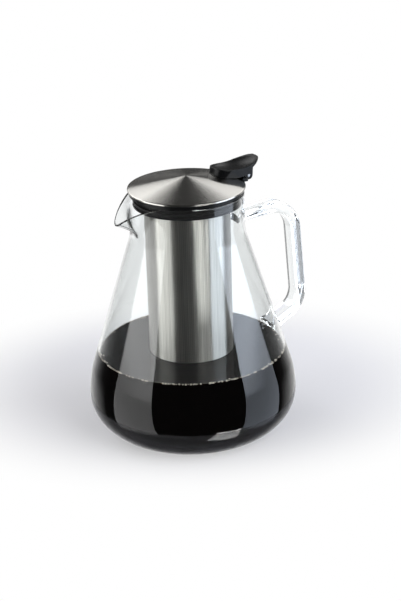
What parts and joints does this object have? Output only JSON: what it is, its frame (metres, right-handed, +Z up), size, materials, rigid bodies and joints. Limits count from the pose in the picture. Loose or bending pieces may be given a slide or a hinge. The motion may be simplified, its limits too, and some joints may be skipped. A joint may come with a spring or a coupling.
{
  "type": "teapot with infuser",
  "caption": "Conical glass jug with a pulled spout and glass handle, a steel infuser hung from a plug collar and a domed hinged lid opened by a thumb lever.",
  "frame": {"origin": "centre of the flat base, on the jug's axis, at the surface it stands on", "axes": "+Z up along the jug's axis, +X towards the handle, the spout points along -X"},
  "size_m": [0.1707, 0.15, 0.1965],
  "materials": {
    "jug_glass": "blown clear borosilicate glass",
    "handle_glass": "solid clear borosilicate bar",
    "black_moulding": "moulded black polypropylene, fine satin",
    "black_silicone": "moulded black silicone",
    "infuser_steel": "finely perforated sheet, rolled and rubbed to a satin",
    "dome_steel": "spun and brushed in rings",
    "plain_steel": "plain mill finish"
  },
  "bodies": {
    "jug": {"jug_body": "jug_glass", "jug_handle": "handle_glass"},
    "infuser": {"collar": "black_moulding", "collar_seal": "black_silicone", "infuser_sleeve": "infuser_steel", "infuser_rim": "plain_steel", "infuser_base": "plain_steel", "hinge_pin": "plain_steel"},
    "lid": {"lid_dome": "dome_steel", "lid_liner": "black_moulding", "lid_seal": "black_silicone", "lid_lever": "black_moulding", "lever_screws": "plain_steel"}
  },
  "joints": [
    {"name": "infuser_lift", "type": "slide", "parent": "jug", "child": "infuser", "axis": [0, 0, 1], "range_m": [0, 0.17]},
    {"name": "lid_hinge", "type": "hinge", "parent": "infuser", "child": "lid", "pos_m": [0.046, 0, 0.1853], "axis": [0, 1, 0], "range_deg": [0, 80]}
  ]
}
